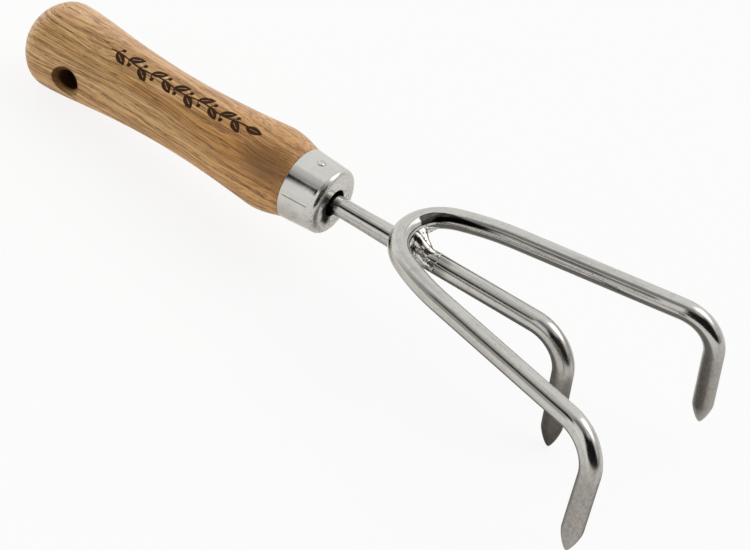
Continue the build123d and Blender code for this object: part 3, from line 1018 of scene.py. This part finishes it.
def fork_half(shape):
    """The +Y half of the fork's centre line, from the middle of the U."""
    dip = math.radians(FORK_DIP)
    normal = Vector((math.sin(dip), 0, math.cos(dip)))
    bend = Bend((FORK_BACK_X, 0, FORK_HEIGHT), (0, 1, 0), normal)
    bend.turn(-normal, U_RADIUS, U_ANGLE)
    bend.turn(-normal, FLARE_RADIUS, 90 - U_ANGLE - LEG_ANGLE)
    bend.run(LEG_LENGTH)
    outward = normal.cross(bend.heading)
    splay = math.radians(TINE_SPLAY)
    bend.tine(outward * math.sin(splay) - normal * math.cos(splay), shape)
    return bend


def fork_piece(material):
    """Both halves of the fork. They share the ring in the middle of the U and blend into it."""
    left, right = fork_half(LEFT_BEND), fork_half(RIGHT_BEND)
    left_rows, left_pole = rod_rings(left)
    right_rows, right_pole = rod_rings(right)
    left_points, left_flow = ring_points(left_rows, 11.7)
    right_points, right_flow = ring_points(right_rows, 27.3)
    blend = ease(0, 12, right_flow[:FORK_SHARED, :, 0])[..., None]
    right_points[:FORK_SHARED] = right_points[:FORK_SHARED] * blend + left_points[:FORK_SHARED] * (1 - blend)
    right_points = right_points * np.array([1, -1, 1])
    left_wear, left_tip = rod_wear(left_flow, left)
    right_wear, right_tip = rod_wear(right_flow, right)
    # a painted dark reflection lies in a band along the inner wall of the U, on the +Y side
    length, up, inward = left_flow[..., 0], left_flow[..., 1], left_flow[..., 2]
    around = np.degrees(np.arctan2(inward, up))
    high = 14 + 30 * ease(8, 30, length)
    tint = ease(high, high + 8, around) * (1 - ease(62, 74, around))
    tint = tint * ease(1.8, 6.4, length + 0.02 * around) * (1 - 0.62 * ease(14, 34, length))
    tint = tint * (1 - ease(left.tine_start - 12, left.tine_start, length))
    right_flow = right_flow * np.array([-1, 1, 1])

    def joined(right_rings, left_rings):
        return np.concatenate([right_rings[:0:-1], left_rings])

    right_end, left_end = right.length + POINT_LENGTH, left.length + POINT_LENGTH
    poles = [(right_pole.x, -right_pole.y, right_pole.z), tuple(left_pole)]
    rod_piece("fork_rod", "outer_tine_fork", material, joined(right_points, left_points), poles, {
        "flow": (joined(right_flow, left_flow), [(-right_end, 0, 0), (left_end, 0, 0)]),
        "wear": (joined(right_wear, left_wear), [1, 1]),
        "tip": (joined(right_tip, left_tip), [1, 1]),
        "tint": (joined(0 * right_tip, tint), [0, 0]),
    })


# ---- welds


def melt(balls, name):
    """Balls melted together: joined, remeshed on a fine grid and relaxed."""
    work = bmesh.new()
    for place, radius in balls:
        bmesh.ops.create_icosphere(
            work, subdivisions=3, radius=radius * MM, matrix=Matrix.Translation(Vector(place) * MM)
        )
    mesh = bpy.data.meshes.new(name)
    work.to_mesh(mesh)
    work.free()
    holder = add_object(name, mesh)
    remesh = holder.modifiers.new("melt", "REMESH")
    remesh.mode = "VOXEL"
    remesh.voxel_size = WELD_VOXEL * MM
    relax = holder.modifiers.new("relax", "SMOOTH")
    relax.factor = 0.5
    relax.iterations = WELD_ROUNDS
    graph = bpy.context.evaluated_depsgraph_get()
    melted = bpy.data.meshes.new_from_object(holder.evaluated_get(graph))
    bpy.data.objects.remove(holder)
    points = np.zeros(len(melted.vertices) * 3)
    melted.vertices.foreach_get("co", points)
    normals = np.zeros(len(melted.vertices) * 3)
    melted.vertices.foreach_get("normal", normals)
    faces = [tuple(p.vertices) for p in melted.polygons]
    return points.reshape(-1, 3) / MM, normals.reshape(-1, 3), faces


def trail(guide, spacing, jitter, seed):
    """Overlapping balls along a guide of (x, y, z, radius) points, each nudged a little."""
    dice = np.random.default_rng(seed)
    guide = np.array(guide, float)
    length = np.concatenate([[0], np.cumsum(np.linalg.norm(np.diff(guide[:, :3], axis=0), axis=1))])
    balls = []
    for s in np.arange(0, length[-1] + spacing / 2, spacing):
        x, y, z, r = [np.interp(s, length, guide[:, k]) for k in range(4)]
        nudge = dice.normal(0, jitter, 3)
        balls.append(((x + nudge[0], y + nudge[1], z + nudge[2]), r * (1 + dice.normal(0, jitter * 0.35))))
    return balls


def weld_piece(name, trails, node, material, seed):
    points, normals, faces = melt([ball for balls in trails for ball in balls], name + "_melt")
    wave = noise_at(points * np.array([0.35, 0.85, 0.45]), 0.75, seed)
    fine = noise_at(points, 1.7, seed + 9)
    points = points + normals * (WELD_RIPPLE * (0.85 * wave + 0.15 * fine))[:, None]
    fold = ease(0.26, 0.5, -wave * 0.9 - fine * 0.25)
    # slag stays on the side that hangs over the rod, away from the smooth tongue; the same mark paints the
    # shade under that overhang
    x, y, z = points.T
    slag_and_overhang_shade = ease(0.6, -1.4, y) * ease(6.0, 4.2, z) + 0.5 * ease(43.2, 45.5, x)
    fold = np.maximum(fold, np.clip(slag_and_overhang_shade, 0, 1) * ease(-0.15, 0.3, wave + 0.8 * fine))
    make_piece(name, points, faces, material, node, {"fold": fold})


def crotch_weld_piece(material):
    along_fork = [(35.6, -5.4, 5.0, 1.2), (34.4, -3.2, 5.6, 2.1), (34.2, 0, 6.2, 2.6), (34.5, 3.2, 6.4, 2.6),
                  (35.1, 5.6, 6.4, 2.1), (36.2, 8.0, 6.4, 1.5), (37.6, 9.8, 6.6, 0.8)]
    tongue = [(35.0, 2.6, 6.6, 2.5), (36.4, 2.0, 5.5, 2.4), (37.9, 1.1, 4.3, 2.3), (40.6, 0.4, 3.2, 2.0)]
    near_tongue = [(34.8, -0.4, 6.6, 2.5), (36.4, -0.4, 5.5, 2.4), (38.2, -0.5, 4.3, 2.3),
                   (41.2, -0.6, 3.1, 2.0)]
    on_rod = [(38.4, -0.4, 3.4, 2.2), (41.2, 0.0, 3.0, 2.0), (43.6, 0.0, 2.9, 1.7), (45.2, 0.0, 2.8, 1.4)]
    near_side = [(38.2, -2.2, 2.4, 2.1), (41.0, -2.8, 1.7, 2.0), (43.6, -3.1, 1.0, 1.7),
                 (46.0, -3.3, 0.2, 1.3)]
    ring = [(46.4, -3.4, -0.6, 0.8), (46.8, -2.6, 2.0, 0.9), (46.4, -0.8, 3.2, 0.9), (45.6, 1.2, 3.2, 0.8)]
    # each with its spacing, jitter and seed
    trails = [trail(along_fork, 0.5, 0.03, 5), trail(tongue, 0.5, 0.03, 6), trail(near_tongue, 0.5, 0.03, 11),
              trail(on_rod, 0.9, 0.12, 7), trail(near_side, 0.9, 0.2, 8), trail(ring, 0.9, 0.22, 10)]
    weld_piece("crotch_weld_bead", trails, "crotch_weld", material, 2.0)


def back_weld_piece(material):
    bead = [(27.6, -3.2, 4.1, 1.0), (27.2, -1.5, 4.7, 1.5), (27.1, 0, 4.9, 1.6), (27.2, 1.5, 4.7, 1.5),
            (27.6, 3.2, 4.1, 1.0)]
    weld_piece("back_weld_bead", [trail(bead, 0.6, 0.12, 9)], "back_weld", material, 7.0)


# ---- studio

WALL_LIGHT = (0.7, 0.695, 0.68)
# Cards and lights by direction, the later ones over the earlier: azimuth, elevation, half width,
# half height and softness in degrees, and colour
PANELS = [
    (135, 40, 62, 62, 10, (0.96, 0.965, 0.95)),
    (-137, 22, 17, 34, 8, (0.46, 0.45, 0.43)),
    (-78, 63, 48, 15, 8, (0.27, 0.265, 0.255)),
    (-32, 4, 60, 12, 8, (0.34, 0.32, 0.305)),
    (-36, 25, 42, 31, 5, (0.014, 0.012, 0.011)),
    (-101, 16, 21, 30, 4, (0.92, 0.92, 0.905)),
    (-128.5, 34.5, 14, 10, 3.5, (0.01, 0.009, 0.008)),
    (57, 54, 27, 20, 8, (2.3, 2.28, 2.22)),
]
BACKDROP = (0.96, 0.96, 0.96)  # what the camera sees past the floor
PAPER, PAPER_FLECK = (0.8, 0.795, 0.78), (0.84, 0.835, 0.82)
PAPER_SHADED = (0.3, 0.295, 0.285)
PAPER_BOUNCE = (0.26, 0.258, 0.25)
PAPER_SEEN, PAPER_GLOW = (0.13, 0.13, 0.13), (0.87, 0.87, 0.87)
SHADE_PLACE = (0.1, 0.0, 0.0)  # the shade under the head, in metres in the row's frame
SHADE_SIZE = (0.085, 0.05)
FLOOR_REACH = 6.0
FLOOR_LEVEL = -0.0002

CAMERA_AZIMUTH, CAMERA_ELEVATION, CAMERA_ROLL = 22.72, 42.51, 20.76
CAMERA_DISTANCE = 0.79546
CAMERA_TARGET = (28.96, -12.7, -8.32)
CAMERA_LENS = 107.487


def studio_world():
    """Soft surroundings by direction: pale walls, a dark card behind the camera, strips of light."""
    look = Look("studio", bpy.data.worlds)
    x, y, z = look.axes(look.signal("ShaderNodeTexCoord", output="Generated"))
    azimuth = look.math("ARCTAN2", y, x) * (180 / math.pi)
    elevation = look.math("ARCSINE", z) * (180 / math.pi)

    def window(angle, centre, half, soft):
        off = look.math("WRAP", angle - centre, 180.0, -180.0)
        return look.span(abs(off), half + soft, half - soft)

    light = WALL_LIGHT
    for az, el, half_az, half_el, soft, colour in PANELS:
        mask = window(azimuth, az, half_az, soft) * window(elevation, el, half_el, soft)
        light = look.mix(mask, light, colour)
    lit, seen = [look.signal("ShaderNodeBackground", colour) for colour in (light, BACKDROP)]
    bpy.context.scene.world = look.finish(look.by_ray(lit, seen), "ShaderNodeOutputWorld")


def floor_piece():
    """A plain pale sweep. Metal sees it shaded under the head, and the camera sees it nearly white."""
    look = Look("pale_floor")
    here = look.signal("ShaderNodeTexCoord", output="Object")
    off = look.vector("SUBTRACT", here, SHADE_PLACE)
    off = look.stretched(off, 1 / SHADE_SIZE[0], 1 / SHADE_SIZE[1], 1)
    shaded = look.span(look.vector("LENGTH", off), 1.15, 0.7)
    paper = look.mix(look.span(look.noise(here, 3.0), 0.3, 0.7), PAPER, PAPER_FLECK)
    paper = look.mix(shaded, paper, PAPER_SHADED)
    bounce = look.mix(shaded, PAPER_BOUNCE, (0.0, 0.0, 0.0))

    def paper_shader(colour, glow):
        return look.signal("ShaderNodeAddShader", look.signal("ShaderNodeBsdfDiffuse", colour),
                           look.signal("ShaderNodeEmission", glow))

    material = look.finish(look.by_ray(paper_shader(paper, bounce), paper_shader(PAPER_SEEN, PAPER_GLOW)))
    corners = [(-1, -1), (1, -1), (1, 1), (-1, 1)]
    mesh = bpy.data.meshes.new("floor")
    mesh.from_pydata([(x * FLOOR_REACH, y * FLOOR_REACH, FLOOR_LEVEL) for x, y in corners], [],
                     [(0, 1, 2, 3)])
    mesh.materials.append(material)
    add_object("floor", mesh)


def camera():
    """The photograph's viewing angle, on the middle of the tool."""
    azimuth, elevation = math.radians(CAMERA_AZIMUTH), math.radians(CAMERA_ELEVATION)
    back = Vector((math.sin(azimuth) * math.cos(elevation), -math.cos(azimuth) * math.cos(elevation),
                   math.sin(elevation)))
    data = bpy.data.cameras.new("camera")
    data.lens = CAMERA_LENS
    data.sensor_width = 36.0
    data.clip_start = 0.01
    made = add_object("camera", data)
    made.location = ROW @ (Vector(CAMERA_TARGET) * MM) + back * CAMERA_DISTANCE
    made.rotation_mode = "QUATERNION"
    level = (-back).to_track_quat("-Z", "Y")
    made.rotation_quaternion = level @ Matrix.Rotation(math.radians(CAMERA_ROLL), 3, "Z").to_quaternion()
    bpy.context.scene.camera = made


# ---- scene

rod_steel = rod_material()
ferrule_steel = ferrule_material()
weld_steel = weld_material()

handle_piece()
ferrule_piece(ferrule_steel)
pin_piece(ferrule_steel)
resin_piece()
centre_rod_piece(rod_steel)
fork_piece(rod_steel)
crotch_weld_piece(weld_steel)
back_weld_piece(weld_steel)

studio_world()
floor_piece()
camera()
bpy.context.scene.view_settings.view_transform = "Standard"
